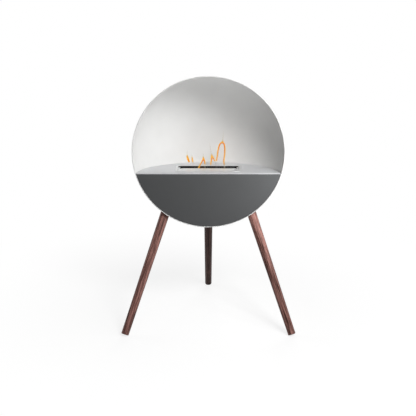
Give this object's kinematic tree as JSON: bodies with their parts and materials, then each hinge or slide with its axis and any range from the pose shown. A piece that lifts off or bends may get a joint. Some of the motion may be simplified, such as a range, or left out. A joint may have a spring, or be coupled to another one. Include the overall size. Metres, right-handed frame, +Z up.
{
  "type": "freestanding fireplace",
  "caption": "Freestanding liquid-fuel fireplace: a round-mouthed steel bowl with a flat front panel and deck, a long burner with a sliding lid, on three splayed tapered wooden legs.",
  "frame": {"origin": "on the floor, in the middle of the object's outline seen from above", "axes": "+Z up; the bowl's mouth faces -Y; X runs across the mouth, to the right when it is seen from the front"},
  "size_m": [0.6888, 0.5766, 0.9999],
  "materials": {
    "bowl_paint": "satin powder coat, warm pale grey",
    "deck_paint": "satin powder coat, cool light grey",
    "panel_paint": "fine satin powder coat, anthracite",
    "burner_steel": "brushed stainless steel",
    "fibre": "fibrous, sooty on top",
    "pad_rubber": "matte black",
    "leg_wood": "dark red-brown stain, satin",
    "inner_paint": "satin powder coat",
    "galvanised_steel": "galvanised sheet, matte",
    "zinc_steel": "zinc plated"
  },
  "bodies": {
    "stand": {"burner_well": "galvanised_steel", "clip_rivets": "zinc_steel", "deck_bracket_left": "inner_paint", "deck_bracket_rear": "inner_paint", "deck_bracket_right": "inner_paint", "deck_nuts": "zinc_steel", "deck_plate": "deck_paint", "deck_studs": "zinc_steel", "dome_shell": "bowl_paint", "front_panel": "panel_paint", "leg_bolts": "zinc_steel", "leg_front_left": "leg_wood", "leg_front_right": "leg_wood", "leg_pads": "pad_rubber", "leg_plate_front_left": "inner_paint", "leg_plate_front_right": "inner_paint", "leg_plate_rear": "inner_paint", "leg_rear": "leg_wood", "leg_socket_front_left": "inner_paint", "leg_socket_front_right": "inner_paint", "leg_socket_rear": "inner_paint", "panel_clips": "zinc_steel"},
    "burner": {"burner_box": "burner_steel", "burner_front_plate": "burner_steel", "lid_rail_left": "burner_steel", "lid_rail_right": "burner_steel", "fuel_tray": "burner_steel", "fibre_block": "fibre"},
    "lid": {"lid": "burner_steel"}
  },
  "joints": [
    {"name": "burner_lift", "type": "slide", "parent": "stand", "child": "burner", "axis": [0, 0, 1], "range_m": [0, 0.08]},
    {"name": "lid_slide", "type": "slide", "parent": "burner", "child": "lid", "axis": [0, 1, 0], "range_m": [0, 0.0445]}
  ]
}
